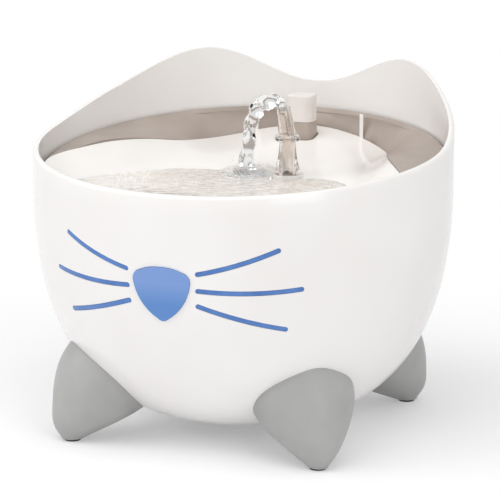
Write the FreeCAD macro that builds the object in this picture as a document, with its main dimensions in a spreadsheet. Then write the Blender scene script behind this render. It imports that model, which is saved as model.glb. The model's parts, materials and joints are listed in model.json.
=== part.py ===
# Pet water fountain: a round pot on four feet, with a lift-out drinking tray, a spout and a pump.
# Millimetres. The face looks towards -Y, +Z is up, and the floor is the plane z = 0.
import FreeCAD, Part
import math
import os
import re

import Sketcher
from FreeCAD import Rotation, Vector

os.makedirs("parts", exist_ok=True)
doc = FreeCAD.newDocument("PetWaterFountain")
sheet = doc.addObject("Spreadsheet::Sheet", "Sizes")

# Driving dimensions: name, value, what it sets
driving = [
    ("bodyRadius", 120, "outer radius of the pot"),
    ("wall", 3.2, "wall of the pot"),
    ("underside", 6.6, "lowest point of the pot above the floor"),
    ("equator", 146.5, "height where the pot's side becomes upright"),
    ("sidePower", 2.434, "how late the side starts to curve in"),
    ("bellyPower", 2.939, "how flat the belly is"),
    ("rimFront", 156.8, "rim height at the face"),
    ("rimSide", 166.3, "rim height halfway round"),
    ("rimShoulder", 182.9, "rim height where it climbs to an ear"),
    ("earTop", 202.4, "rim height at the ears"),
    ("rimBack", 179.6, "rim height between the ears"),
    ("rimRound", 1.6, "rounding of the rim"),
    ("seatHeight", 14.6, "flat floor that the pump stands on"),
    ("seatRadius", 50, "radius of that floor"),
    ("ledgeTop", 123, "ledge that the tray rests on"),
    ("ledgeWidth", 6.4, "how far the ledge stands in"),
    ("noseHalfWidth", 16.7, "half width of the nose"),
    ("noseTop", 117.1, "top of the nose"),
    ("noseBottom", 86, "tip of the nose"),
    ("noseBulge", 0.9, "how far the nose stands proud"),
    ("noseGap", 0.15, "gap round the nose and the whiskers"),
    ("whiskerWidth", 2.7, "width of a whisker"),
    ("whiskerDepth", 1.3, "depth of a whisker's groove"),
    ("whiskerSink", 0.3, "how far a whisker lies below the surface"),
    ("footHeight", 60, "height of a foot where it merges with the pot"),
    ("footReach", 105.5, "radius of the circle through the foot tips"),
    ("footGap", 0.1, "glue gap between a foot and the pot"),
    ("padRadius", 4.6, "radius of a foot pad"),
    ("padHeight", 1.2, "height of a foot pad"),
    ("trayGap", 1, "gap between the tray and the pot"),
    ("collarWall", 2.6, "wall of the tray's collar"),
    ("seamMean", 153.2, "mean height of the tray's outer edge"),
    ("seamTilt", 12.2, "rise of that edge from front to back"),
    ("deckSkin", 2.2, "thickness of the deck"),
    ("traySkin", 2.4, "thickness of the drinking tray"),
    ("trayEdge", 150.6, "height of the drinking tray's front edge"),
    ("waterLine", 142, "height where the pool ends"),
    ("shore", 10, "Y of the pool's back edge"),
    ("poolDepth", 11, "depth of the pool"),
    ("beachSlope", 0.09, "rise of the floor behind the pool"),
    ("drainY", -60, "Y of the drain"),
    ("drainRadius", 18, "radius of the drain"),
    ("drainWall", 1.6, "wall of the drain's collar"),
    ("basketDepth", 30, "depth of the filter basket"),
    ("spoutX", 20, "X of the spout"),
    ("spoutY", 18, "Y of the spout"),
    ("spoutFoot", 7.4, "radius of the spout's foot"),
    ("spoutWaist", 4.7, "radius of the spout's waist"),
    ("spoutBore", 3.2, "radius of the water way in the spout"),
    ("spoutRing", 7.3, "radius of the spout's ring"),
    ("ringHeight", 163.4, "underside of the spout's ring"),
    ("ringThick", 3.2, "thickness of the ring"),
    ("nozzleLength", 17.5, "length of the nozzle"),
    ("nozzleTip", 4, "radius of the nozzle's tip"),
    ("nozzleLean", 10, "lean of the nozzle in degrees"),
    ("neckWidth", 16, "width of the filler neck"),
    ("neckDepth", 14, "depth of the filler neck"),
    ("neckY", 93, "Y of the filler neck"),
    ("neckTop", 161, "top of the filler neck"),
    ("neckWall", 1.8, "wall of the filler neck"),
    ("neckRound", 4, "corner radius of the filler neck"),
    ("capTop", 177, "top of the refill cap"),
    ("capSkin", 1.8, "wall of the refill cap"),
    ("pumpWidth", 44, "width of the pump"),
    ("pumpDepth", 40, "depth of the pump's housing"),
    ("pumpHeight", 33, "height of the pump's housing"),
    ("pumpX", 8, "X of the impeller's axis"),
    ("pumpFront", 12, "Y of the pump housing's front face"),
    ("axisHeight", 34, "height of the impeller's axis"),
    ("chamberRadius", 13.5, "radius of the impeller's chamber"),
    ("chamberDepth", 12, "depth of the impeller's chamber"),
    ("wellRadius", 9.3, "radius of the magnet's well"),
    ("wellDepth", 20, "depth of the magnet's well"),
    ("shaftRadius", 1.5, "radius of the impeller's shaft"),
    ("runningGap", 0.06, "radial running clearance on a shaft"),
    ("riserRadius", 4.5, "outer radius of the riser tube"),
    ("riserBore", 3.1, "inner radius of the riser tube"),
    ("cupHeight", 4.6, "height of a suction cup"),
    ("cupRadius", 6, "radius of a suction cup"),
    ("coverThick", 3.6, "thickness of the pump's cover"),
    ("portRadius", 1.7, "radius of a port in the cover and the dial"),
    ("portCircle", 6, "radius of the circle of ports"),
    ("dialRadius", 10, "radius of the flow dial"),
    ("dialThick", 2.2, "thickness of the flow dial"),
    ("cageDepth", 22, "depth of the prefilter's cage"),
    ("cageWall", 1.6, "wall of the prefilter's cage"),
    ("inletHeight", 52, "height of the power inlet"),
    ("inletSeat", 99.5, "Y of the inlet's outer seat"),
    ("inletBack", 90, "Y of the inlet's inner seat"),
    ("inletRadius", 5.4, "radius of the inlet's barrel"),
    ("lampFace", 108, "distance of the lamp housing's front from the axis"),
    ("lampDepth", 11, "depth of the lamp housing"),
    ("lampWall", 2, "wall of the lamp housing"),
    ("leadRadius", 1.6, "radius of the leads inside the pot"),
]
for row, (name, number, note) in enumerate(driving, start=1):
    sheet.set("A%d" % row, name)
    sheet.set("B%d" % row, str(number))
    sheet.set("C%d" % row, note)
    sheet.setAlias("B%d" % row, name)
doc.recompute()
aliases = [name for name, number, note in driving]


def linked(text):
    """Turns the plain names in an expression into references to the sheet."""
    return re.sub(r"[A-Za-z]+", lambda word: "Sizes." + word[0] if word[0] in aliases else word[0], text)


def value(text):
    return float(sheet.evalExpression(linked(str(text))))


def bind(thing, **settings):
    """Binds properties of an object to expressions in the sheet's names."""
    for name, text in settings.items():
        thing.setExpression(name.replace("__", "."), linked(str(text)))
    return thing


def place(thing, x="0", y="0", z="0"):
    return bind(thing, Placement__Base__x=x, Placement__Base__y=y, Placement__Base__z=z)


def named(thing, label):
    thing.Label = label
    return thing


# Directions that a primitive's own Z axis can be turned to
towards = {
    "up": Rotation(),
    "back": Rotation(Vector(1, 0, 0), -90),
    "left": Rotation(Vector(0, 1, 0), -90),
    "right": Rotation(Vector(0, 1, 0), 90),
}


def cylinder(radius, height, x="0", y="0", z="0", way="up"):
    rod = doc.addObject("Part::Cylinder", "Rod")
    rod.Placement = FreeCAD.Placement(Vector(), towards[way])
    return place(bind(rod, Radius=radius, Height=height), x, y, z)


def cone(low, high, height, x="0", y="0", z="0", way="up"):
    taper = doc.addObject("Part::Cone", "Taper")
    taper.Placement = FreeCAD.Placement(Vector(), towards[way])
    return place(bind(taper, Radius1=low, Radius2=high, Height=height), x, y, z)


def block(width, depth, height, x="0", y="0", z="0"):
    """A box whose x and y are its middle and whose z is its underside."""
    brick = bind(doc.addObject("Part::Box", "Brick"), Length=width, Width=depth, Height=height)
    return place(brick, "%s - (%s) / 2" % (x, width), "%s - (%s) / 2" % (y, depth), z)


def softened(brick, radius, upright=True):
    """Rounds the upright edges of a box, or all of its edges."""
    round_ = doc.addObject("Part::Fillet", "Softened")
    round_.Base = brick
    brick.recompute()
    chosen = []
    for number, edge in enumerate(brick.Shape.Edges, start=1):
        direction = edge.tangentAt(edge.FirstParameter)
        if not upright or abs(direction.z) > 0.9:
            chosen.append((number, value(radius), value(radius)))
    round_.Edges = chosen
    return round_


def joined(label, *pieces):
    whole = doc.addObject("Part::MultiFuse", "Joined")
    whole.Shapes = list(pieces)
    return named(whole, label)


def cut(label, base, *tools):
    hollow = doc.addObject("Part::Cut", "Cut")
    hollow.Base = base
    hollow.Tool = tools[0] if len(tools) == 1 else joined(label + "_tools", *tools)
    return named(hollow, label)


def formed(label, shape):
    """A free form that no sketch or primitive fits, made from the sheet's sizes."""
    form = doc.addObject("Part::Feature", "Form")
    form.Shape = shape
    return named(form, label)


def originPlane(body, role):
    return next(part for part in body.Origin.OriginFeatures if part.Role == role)


def drawn(body, role, outline):
    """A sketch of straight edges whose corners are bound to expressions."""
    sketch = body.newObject("Sketcher::SketchObject", "Outline")
    sketch.AttachmentSupport = [(originPlane(body, role), "")]
    sketch.MapMode = "FlatFace"
    corners = [Vector(value(across), value(along), 0) for across, along in outline]
    count = len(corners)
    for index in range(count):
        sketch.addGeometry(Part.LineSegment(corners[index], corners[(index + 1) % count]))
    for index in range(count):
        sketch.addConstraint(Sketcher.Constraint("Coincident", index, 2, (index + 1) % count, 1))
    for index, corner in enumerate(outline):
        for kind, axis, text in (("DistanceX", -2, corner[0]), ("DistanceY", -1, corner[1])):
            if text == "0":
                sketch.addConstraint(Sketcher.Constraint("PointOnObject", index, 1, axis))
            else:
                bound = Sketcher.Constraint(kind, -1, 1, index, 1, value(text))
                bind(sketch, **{"Constraints[%d]" % sketch.addConstraint(bound): text})
    return sketch


def turned(label, outline, x="0", y="0", z="0", way="up"):
    """A body turned about its own Z axis from an outline of radius and height."""
    body = named(doc.addObject("PartDesign::Body", "Turned"), label)
    sketch = drawn(body, "XZ_Plane", outline)
    turn = body.newObject("PartDesign::Revolution", "Turn")
    turn.Profile = sketch
    turn.ReferenceAxis = (sketch, ["V_Axis"])
    turn.Angle = 360
    body.Placement = FreeCAD.Placement(Vector(), towards[way])
    return place(body, x, y, z)


# The pot's round form, also used to fit what lies on it
def potSolid(inset, top):
    """The solid of the pot's outer form, drawn in by inset and closed at height top."""
    radius = value("bodyRadius") - inset
    floor = value("underside") + inset
    span = value("equator") - floor

    def onSide(degrees):
        turn = math.radians(degrees)
        across = radius * math.cos(turn) ** (2 / value("bellyPower"))
        return Vector(across, 0, value("equator") - span * math.sin(turn) ** (2 / value("sidePower")))

    stops = [0, 9, 18, 27, 36, 45, 54, 63, 72, 76.5, 81]
    arcs = []
    for start in range(0, len(stops) - 1, 2):
        arcs.append(Part.Arc(*[onSide(stop) for stop in stops[start:start + 3]]).toShape())
    low, pole = onSide(stops[-1]), Vector(0, 0, floor)
    dome = (low.x ** 2 + (low.z - floor) ** 2) / (2 * (low.z - floor))
    half = math.asin(low.x / dome) / 2
    middle = Vector(dome * math.sin(half), 0, floor + dome * (1 - math.cos(half)))
    arcs.append(Part.Arc(low, middle, pole).toShape())
    frame = Part.makePolygon([pole, Vector(0, 0, top), Vector(radius, 0, top), onSide(0)])
    outline = Part.Wire(arcs + frame.Edges)
    return Part.Face(outline).revolve(Vector(), Vector(0, 0, 1), 360)


def smooth(stations, at):
    """Reads a smooth curve through (position, value) stations."""
    slopes = []
    for index in range(len(stations)):
        if index in (0, len(stations) - 1):
            slopes.append(0)
            continue
        (x0, y0), (x1, y1), (x2, y2) = stations[index - 1:index + 2]
        before = (y1 - y0) / (x1 - x0)
        after = (y2 - y1) / (x2 - x1)
        slopes.append(0 if before * after <= 0 else 2 * before * after / (before + after))
    for index in range(len(stations) - 1):
        (x0, y0), (x1, y1) = stations[index:index + 2]
        if at <= x1:
            break
    step = x1 - x0
    part = (at - x0) / step
    rise = y1 - y0
    ease = part * part * (3 - 2 * part)
    bend = part * (1 - part) ** 2 * slopes[index] - part * part * (1 - part) * slopes[index + 1]
    return y0 + rise * ease + step * bend


def around(angle, radius, height):
    """A point at an angle from the face, positive towards +X."""
    turn = math.radians(angle)
    return Vector(radius * math.sin(turn), -radius * math.cos(turn), height)


def rimHeight(angle):
    stations = [(0, value("rimFront")), (90, value("rimSide")), (120, value("rimShoulder")),
                (147.5, value("earTop")), (180, value("rimBack"))]
    turn = abs((angle + 180) % 360 - 180)
    return smooth(stations, turn)


def smoothSkin(poles):
    """A smooth surface that follows a grid of poles."""
    def knots(count):
        return [4] + [1] * (count - 4) + [4], list(range(count - 2))
    (alongMults, along), (acrossMults, across) = knots(len(poles)), knots(len(poles[0]))
    surface = Part.BSplineSurface()
    surface.buildFromPolesMultsKnots(poles, alongMults, acrossMults, along, across, False, False, 3, 3)
    return surface.toShape()


def doubled(half):
    """Keeps the +X side of a solid and mirrors it."""
    reach = value("bodyRadius") * 1.5
    side = half.common(Part.makeBox(reach, 2 * reach, 4 * reach, Vector(0, -reach, -reach)))
    return side.fuse(side.mirror(Vector(), Vector(1, 0, 0))).removeSplitter()


def aboveRim():
    """Everything above the rim, which is rounded over and climbs to two ears."""
    middle = value("bodyRadius") - value("wall") / 2
    ribs = []
    for angle in range(-20, 201, 10):
        ribs.append([around(angle, middle + share * value("wall") / 2,
                            rimHeight(angle) - value("rimRound") * max(0, abs(share) - 0.3) ** 2)
                     for share in (-2, -1.5, -1.1, -0.6, 0, 0.6, 1.1, 1.5, 2)])
    return doubled(smoothSkin(ribs).extrude(Vector(0, 0, value("earTop"))))


# Outlines in the upright plane that faces the front
def noseOutline(grow):
    """The nose: a triangle with bowed sides and round corners, grown all round."""
    half = value("noseHalfWidth") + grow
    top = value("noseTop") + grow
    bottom = value("noseBottom") - grow
    tall = top - bottom

    def at(across, up):
        return Vector(across * half, 0, bottom + up * tall)

    right = [Part.Arc(at(0, 1), at(0.4, 0.985), at(0.76, 0.92)),
             Part.Arc(at(0.76, 0.92), at(0.97, 0.83), at(0.99, 0.69)),
             Part.Arc(at(0.99, 0.69), at(0.74, 0.34), at(0.18, 0.045)),
             Part.Arc(at(0.18, 0.045), at(0.096, 0.012), at(0, 0))]
    edges = [arc.toShape() for arc in right]
    mirrored = [edge.mirror(Vector(), Vector(1, 0, 0)) for edge in edges]
    return Part.Wire(Part.__sortEdges__(edges + mirrored))


def noseBar(grow, front, back):
    """The nose's outline, from one distance before the axis to another."""
    face = Part.Face(noseOutline(grow))
    face.translate(Vector(0, -front, 0))
    return face.extrude(Vector(0, front - back, 0))


# Whiskers on the +X side: angle and height of the inner end and the outer end, and the sag between
whiskers = [((10.3, 114.2), (31.1, 127.8), 1.0),
            ((10.4, 104.7), (37.3, 105.5), 1.2),
            ((10.4, 95.9), (33.0, 82.7), 0.8)]


def whiskerBar(whisker, grow, side):
    """One whisker: a slim bowed bar with round ends, square to the pot at its middle."""
    (angle0, low), (angle1, high), sag = whisker
    middle = (angle0 + angle1) / 2
    reach = value("bodyRadius")
    half = value("whiskerWidth") / 2 + grow
    ends = [Vector(reach * math.sin(math.radians(angle - middle)), 0, height)
            for angle, height in ((angle0, low), (angle1, high))]
    along = (ends[1] - ends[0]).normalize()
    across = Vector(-along.z, 0, along.x)
    centre = (ends[0] + ends[1]) / 2 - across * sag
    outline = [Part.Arc(ends[0] + across * half, centre + across * half, ends[1] + across * half),
               Part.Arc(ends[1] + across * half, ends[1] + along * half, ends[1] - across * half),
               Part.Arc(ends[1] - across * half, centre - across * half, ends[0] - across * half),
               Part.Arc(ends[0] - across * half, ends[0] - along * half, ends[0] + across * half)]
    face = Part.Face(Part.Wire([arc.toShape() for arc in outline]))
    bar = face.extrude(Vector(0, -reach * 1.2, 0))
    bar.rotate(Vector(), Vector(0, 0, 1), middle)
    return bar if side > 0 else bar.mirror(Vector(), Vector(1, 0, 0))


def whiskerBars(grow, sides=(1, -1)):
    return [whiskerBar(whisker, grow, side) for whisker in whiskers for side in sides]


# The pot
def makeShell():
    topClear = value("earTop") + 10
    shell = potSolid(0, topClear).cut(potSolid(value("wall"), topClear + 1))
    inside = value("bodyRadius") - value("wall")
    foot = value("ledgeTop") - value("ledgeWidth")
    bite = value("wall") / 5
    ledge = Part.Face(Part.makePolygon([
        Vector(inside - value("ledgeWidth"), 0, value("ledgeTop")),
        Vector(inside + bite, 0, value("ledgeTop")),
        Vector(inside + bite, 0, foot - value("ledgeWidth") / 2),
        Vector(inside - value("ledgeWidth"), 0, foot + value("ledgeWidth") / 2),
        Vector(inside - value("ledgeWidth"), 0, value("ledgeTop"))]))
    ledge = ledge.revolve(Vector(), Vector(0, 0, 1), 360)
    lampRoom = value("noseHalfWidth") + gasketGrow + 1
    ledge = ledge.cut(Part.makeBox(2 * lampRoom, value("bodyRadius"), topClear,
                                   Vector(-lampRoom, -value("bodyRadius"), 0)))
    floor = value("underside") + value("wall") / 2
    seat = Part.makeCylinder(value("seatRadius"), value("seatHeight") - floor, Vector(0, 0, floor))
    shell = shell.fuse([ledge, seat.common(potSolid(value("wall") / 2, topClear))])
    shell = shell.cut(aboveRim())
    back = Vector(0, 1, 0)
    inletBoss = Part.makeCylinder(value("inletRadius") * 1.9, value("bodyRadius") - value("inletBack"),
                                  Vector(0, value("inletBack"), value("inletHeight")), back)
    bosses = [inletBoss]
    for side in (-1, 1):
        bosses.append(Part.makeCylinder(lampBossRadius, value("bodyRadius") - value("lampFace"),
                                        Vector(side * lampScrewX(), -value("lampFace"), lampMiddle()), -back))
    pot = potSolid(value("wall") / 2, topClear)
    shell = shell.fuse([boss.common(pot) for boss in bosses])
    seatDepth = value("bodyRadius") - value("inletSeat")
    holes = [noseBar(0, value("bodyRadius") + 5, value("lampFace")),
             Part.makeCylinder(value("inletRadius") + holeGap, value("bodyRadius"),
                               Vector(0, value("inletBack") - 5, value("inletHeight")), back),
             Part.makeCylinder(value("inletRadius") * 1.75, seatDepth,
                               Vector(0, value("inletSeat"), value("inletHeight")), back)]
    for side in (-1, 1):
        holes.append(Part.makeCylinder(screwRadius + 0.05, 3.2,
                                       Vector(side * lampScrewX(), -value("lampFace"), lampMiddle()), -back))
    groove = potSolid(value("whiskerDepth"), topClear)
    holes += [bar.cut(groove) for bar in whiskerBars(whiskerGap())]
    return shell.cut(holes)


def whiskerGap():
    return value("noseGap") / 2


# Small fasteners and clearances that several pieces share
lampBossRadius = 3.4
screwRadius = 1.2
screwHead = 2.5
holeGap = 0.2
gasketGrow = value("lampWall") + 1.6


def lampScrewX():
    return value("noseHalfWidth") + 8.5


def lampMiddle():
    return (value("noseTop") + value("noseBottom")) / 2


def lampLeadX():
    return value("noseHalfWidth") * 0.36


formed("outer_shell", makeShell())

# Feet: each is a horn lofted through ellipses and cut to the pot's form.
# Stations: share of the foot's height, outward shift of the centre, radial and sideways half sizes
footStations = [(0.0, 0.0, 6.2, 5.6), (0.07, -4.0, 12.6, 9.8), (0.18, -10.5, 21.3, 16.4),
                (0.33, -18.0, 28.4, 23.6), (0.5, -21.5, 30.8, 28.4), (0.68, -21.0, 27.8, 28.6),
                (0.84, -19.0, 21.6, 22.6), (1.0, -18.0, 14.6, 12.0)]
footAngles = {"foot_front_right": 45, "foot_front_left": -45, "foot_rear_right": 135, "foot_rear_left": -135}


def makeFoot(angle):
    rings = []
    base = value("padHeight")
    for share, shift, radial, sideways in footStations:
        height = base + share * (value("footHeight") - base)
        rings.append(evenRing(Vector(value("footReach") + shift, 0, height), radial, sideways))
    horn = Part.makeLoft(rings, True)
    horn.rotate(Vector(), Vector(0, 0, 1), angle - 90)
    return horn.cut(potSolid(-value("footGap"), value("equator")))


def evenRing(centre, radial, sideways):
    """An ellipse as a closed curve that starts at its outer end."""
    points = []
    for step in range(8):
        turn = math.radians(45 * step)
        points.append(centre + Vector(radial * math.cos(turn), sideways * math.sin(turn), 0))
    curve = Part.BSplineCurve()
    curve.interpolate(Points=points, PeriodicFlag=True)
    return Part.Wire([curve.toShape()])


for label, angle in footAngles.items():
    formed(label, makeFoot(angle))

pads = []
for angle in footAngles.values():
    pads.append(cylinder("padRadius", "padHeight", "footReach * sin(%d deg)" % angle,
                         "-footReach * cos(%d deg)" % angle))
doc.recompute()
formed("foot_pads", Part.makeCompound([pad.Shape for pad in pads]))

# The face: a lit nose with its lamp behind it, and two sets of whiskers
lens = noseBar(-value("noseGap"), value("bodyRadius") + 5, value("lampFace"))
lens = lens.common(potSolid(-value("noseBulge"), value("equator")))
lens = lens.cut(potSolid(value("wall"), value("equator")))
formed("nose_lens", lens)
gasket = noseBar(gasketGrow, value("bodyRadius"), value("lampFace"))
gasket = gasket.cut(noseBar(gasketGrow - value("lampWall"), value("bodyRadius") + 1, value("lampFace") - 1))
formed("nose_gasket", gasket.common(potSolid(value("wall"), value("equator"))))

lampBack = value("lampFace") - value("lampDepth")
housing = noseBar(gasketGrow, value("lampFace"), lampBack)
wing = Part.makeBox(2 * (lampScrewX() + 4), 2.4, 12,
                    Vector(-lampScrewX() - 4, -value("lampFace"), lampMiddle() - 6))
gland = Part.makeCylinder(3, 8, Vector(lampLeadX(), -lampBack - 4, value("noseBottom") - gasketGrow - 5))
housing = housing.fuse([wing, gland])
lampInside = noseBar(gasketGrow - value("lampWall"), value("lampFace") + 1, lampBack + value("lampWall"))
housing = housing.cut(lampInside)
for side in (-1, 1):
    start = Vector(side * lampScrewX(), 3 - value("lampFace"), lampMiddle())
    housing = housing.cut(Part.makeCylinder(screwRadius + holeGap, 9, start, Vector(0, -1, 0)))
housing = housing.removeSplitter()
formed("lamp_housing", housing)

screws = []
for side in (-1, 1):
    start = Vector(side * lampScrewX(), 2.4 - value("lampFace"), lampMiddle())
    head = Part.makeCylinder(screwHead, 1.6, start, Vector(0, 1, 0))
    shank = Part.makeCylinder(screwRadius, 5.4, start, Vector(0, -1, 0))
    slot = Part.makeBox(2 * screwHead + 1, 0.8, 0.7, start + Vector(-screwHead - 0.5, 0.9, -0.35))
    screws.append(head.fuse(shank).cut(slot))
formed("lamp_screws", Part.makeCompound(screws))

boardBack = lampBack + value("lampWall")
formed("led_board", noseBar(gasketGrow - value("lampWall") - 0.8, boardBack + 1.2, boardBack))
lights = []
for across, up in ((-8, 8), (8, 8), (0, -6)):
    corner = Vector(across - 1.7, -boardBack - 2.5, lampMiddle() + up - 1.7)
    lights.append(Part.makeBox(3.4, 1.3, 3.4, corner))
formed("led_lights", Part.makeCompound(lights))

whiskerSkin = potSolid(value("whiskerSink"), value("equator"))
whiskerBed = potSolid(value("whiskerDepth"), value("equator"))
for label, side in (("whiskers_left", -1), ("whiskers_right", 1)):
    bars = [bar.common(whiskerSkin).cut(whiskerBed) for bar in whiskerBars(-whiskerGap(), (side,))]
    formed(label, Part.makeCompound([solid for bar in bars for solid in bar.Solids]))

# The power inlet at the back, low down: a barrel with a flange, a seal, a pin, a nut and a potted cap
turned("inlet_seal", [("inletRadius + 0.1", "0"), ("inletRadius * 1.6", "0"), ("inletRadius * 1.6", "0.8"),
                      ("inletRadius + 0.1", "0.8")], "0", "inletSeat", "inletHeight", "back")
inletFlange = "inletSeat - inletBack + 0.8"
turned("power_inlet", [
    ("0", "-4"), ("inletRadius", "-4"), ("inletRadius", inletFlange), ("inletRadius * 1.6", inletFlange),
    ("inletRadius * 1.6", inletFlange + " + 1.4"), ("inletRadius * 0.56", inletFlange + " + 1.4"),
    ("inletRadius * 0.56", "1"), ("0", "1")], "0", "inletBack", "inletHeight", "back")
turned("inlet_pin", [("0", "1"), ("0.9", "1"), ("0.9", "8"), ("0.5", "8.8"), ("0", "8.8")],
       "0", "inletBack", "inletHeight", "back")
nut = doc.addObject("Part::Prism", "Nut")
nut.Placement = FreeCAD.Placement(Vector(), towards["back"])
nut.Polygon = 6
place(bind(nut, Circumradius="inletRadius * 1.7", Height="3"), "0", "inletBack - 3", "inletHeight")
cut("inlet_nut", nut, cylinder("inletRadius + 0.05", "4", "0", "inletBack - 3.5", "inletHeight", "back"))
capBarrel = cylinder("inletRadius * 1.4", "6.4", "0", "inletBack - 10.4", "inletHeight", "back")
capHorns = cylinder("3", "20", "-10", "inletBack - 7.2", "inletHeight", "right")
joined("inlet_cap", capBarrel, capHorns)

# The pump: housing, cover, flow dial, impeller on its shaft, cups, riser and prefilter
pumpBase = "seatHeight + cupHeight"
pumpBlock = block("pumpWidth", "pumpDepth", "pumpHeight", "pumpX", "pumpFront + pumpDepth / 2", pumpBase)
pumpShell = softened(pumpBlock, "5")
neckBase = "axisHeight + chamberRadius"
outlet = cylinder("riserRadius + 1.4", "%s + pumpHeight + 6 - axisHeight" % pumpBase, "spoutX", "spoutY",
                  "axisHeight")
glandSide = "pumpX - pumpWidth / 2"
pumpGland = cone("4.4", "2.8", "7", glandSide, "pumpFront + 30", "30", "left")
pumpBody = joined("pump_body", pumpShell, outlet, pumpGland)
cut("pump_housing", pumpBody,
    cylinder("chamberRadius", "chamberDepth", "pumpX", "pumpFront", "axisHeight", "back"),
    cylinder("wellRadius + 0.4", "chamberDepth + wellDepth", "pumpX", "pumpFront", "axisHeight", "back"),
    cylinder("shaftRadius + 2", "chamberDepth + wellDepth + 3", "pumpX", "pumpFront", "axisHeight", "back"),
    cylinder("riserRadius + 0.1", "60", "spoutX", "spoutY", neckBase),
    cylinder("riserBore", neckBase + " - axisHeight + 1", "spoutX", "spoutY", "axisHeight"))

wellEnd = "chamberDepth + wellDepth"
turned("rear_bush", [("shaftRadius + runningGap", "%s" % wellEnd), ("shaftRadius + 2", wellEnd),
                     ("shaftRadius + 2", wellEnd + " + 3"), ("shaftRadius + runningGap", wellEnd + " + 3")],
       "pumpX", "pumpFront", "axisHeight", "back")
turned("front_bush", [("shaftRadius + runningGap", "-coverThick"), ("shaftRadius + 1.5", "-coverThick"),
                      ("shaftRadius + 1.5", "0"), ("shaftRadius + runningGap", "0")],
       "pumpX", "pumpFront", "axisHeight", "back")
cylinder("shaftRadius", "coverThick + %s + 3" % wellEnd, "pumpX", "pumpFront - coverThick", "axisHeight",
         "back").Label = "impeller_shaft"

bore = "shaftRadius + runningGap"
turned("impeller_magnet", [(bore, "chamberDepth - 2"), ("wellRadius", "chamberDepth - 2"),
                           ("wellRadius", wellEnd + " - 0.5"), (bore, wellEnd + " - 0.5")],
       "pumpX", "pumpFront", "axisHeight", "back")
hub = cylinder("shaftRadius + 2", "chamberDepth - 3", "pumpX", "pumpFront + 1", "axisHeight", "back")
disc = cylinder("chamberRadius - 1", "1.4", "pumpX", "pumpFront + chamberDepth - 3.4", "axisHeight", "back")
bladeCount = 6
blades = []
for number in range(bladeCount):
    blade = doc.addObject("Part::Box", "Blade")
    bind(blade, Length="chamberRadius - 4", Width="chamberDepth - 4.4", Height="1.2")
    place(blade, "pumpX", "pumpFront + 1", "axisHeight")
    lean = Rotation(Vector(0, 1, 0), 360 / bladeCount * number)
    blade.Placement = FreeCAD.Placement(blade.Placement.Base, lean)
    blade.setExpression("Placement.Base.x", linked("pumpX + (shaftRadius + 1) * %.6f"
                                                   % math.cos(math.radians(360 / bladeCount * number))))
    blade.setExpression("Placement.Base.z", linked("axisHeight - (shaftRadius + 1) * %.6f"
                                                   % math.sin(math.radians(360 / bladeCount * number))))
    blades.append(blade)
cut("impeller", joined("impeller_parts", hub, disc, *blades),
    cylinder(bore, "chamberDepth", "pumpX", "pumpFront", "axisHeight", "back"))


def portHoles(length, start):
    """The ring of round ports that the cover and the dial share."""
    ring = []
    for number in range(5):
        turn = math.radians(72 * number + 18)
        ring.append(cylinder("portRadius", length, "pumpX + portCircle * %.6f" % math.cos(turn), start,
                             "axisHeight + portCircle * %.6f" % math.sin(turn), "back"))
    return ring


plate = softened(block("2 * chamberRadius + 8", "coverThick", "2 * chamberRadius - 1", "pumpX",
                       "pumpFront - coverThick / 2", "axisHeight - chamberRadius + 0.5"), "0.8")
intakes = portHoles("coverThick + 2", "pumpFront - coverThick - 1")
coverSeat = cylinder("shaftRadius + 1.5", "coverThick + 1", "pumpX", "pumpFront - coverThick - 0.5",
                     "axisHeight", "back")
cut("pump_cover", plate, coverSeat, *intakes)

dialFront = "pumpFront - coverThick - dialThick - 0.3"
dialDisc = cylinder("dialRadius", "dialThick", "pumpX", dialFront, "axisHeight", "back")
dialTab = block("3", "dialThick + 3", "5", "pumpX", dialFront + " + dialThick - (dialThick + 3) / 2",
                "axisHeight + dialRadius - 2")
cut("flow_dial", joined("dial_parts", dialDisc, dialTab), *portHoles("8", dialFront + " - 1"))
washer = cylinder("shaftRadius + 1.2", "0.3", "pumpX", "pumpFront - coverThick - 0.3", "axisHeight", "back")
washer.Label = "dial_washer"

cups = []
for across in (-13, 13):
    for along in (6, 24):
        cups.append(turned("cup", [
            ("0", "0"), ("cupRadius", "0"), ("cupRadius", "0.8"), ("cupRadius * 0.42", "cupHeight * 0.55"),
            ("cupRadius * 0.42", "cupHeight"), ("0", "cupHeight")],
            "pumpX + %d" % across, "pumpFront + %d" % along, "seatHeight"))
doc.recompute()
formed("suction_cups", Part.makeCompound([cup.Shape for cup in cups]))

turned("riser_tube", [("riserBore", neckBase), ("riserRadius", neckBase), ("riserRadius", "waterLine - 1"),
                      ("riserBore", "waterLine - 1")], "spoutX", "spoutY")

cageFront = "pumpFront - cageDepth"
cageTall = "pumpHeight - 1"
slots = []
for number in range(7):
    slots.append(block("2.4", "cageWall + 2", cageTall + " - 8", "pumpX + %d" % (5 * (number - 3)),
                       cageFront + " + cageWall / 2", pumpBase + " + 4"))
cageBox = softened(block("pumpWidth", "cageDepth - coverThick", cageTall, "pumpX",
                         cageFront + " + (cageDepth - coverThick) / 2", pumpBase), "2.5")
cageRoom = block("pumpWidth - 2 * cageWall", "cageDepth - coverThick", cageTall + " - 2 * cageWall", "pumpX",
                 cageFront + " + (cageDepth - coverThick) / 2 + cageWall", pumpBase + " + cageWall")
cageSleeves = [block("cageWall", "coverThick + 0.4", "14", "pumpX + %s * (pumpWidth - cageWall) / 2" % side,
                     "pumpFront - coverThick / 2 - 0.2", pumpBase + " + 9") for side in ("-1", "1")]
cut("prefilter_cage", joined("cage_parts", cageBox, *cageSleeves), cageRoom, *slots)
foam = block("pumpWidth - 2 * cageWall - 0.6", "cageDepth - cageWall - coverThick - dialThick - 4.2",
             cageTall + " - 2 * cageWall - 0.6", "pumpX",
             cageFront + " + cageWall + 0.2 + (cageDepth - cageWall - coverThick - dialThick - 4.2) / 2",
             pumpBase + " + cageWall + 0.3")
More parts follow.
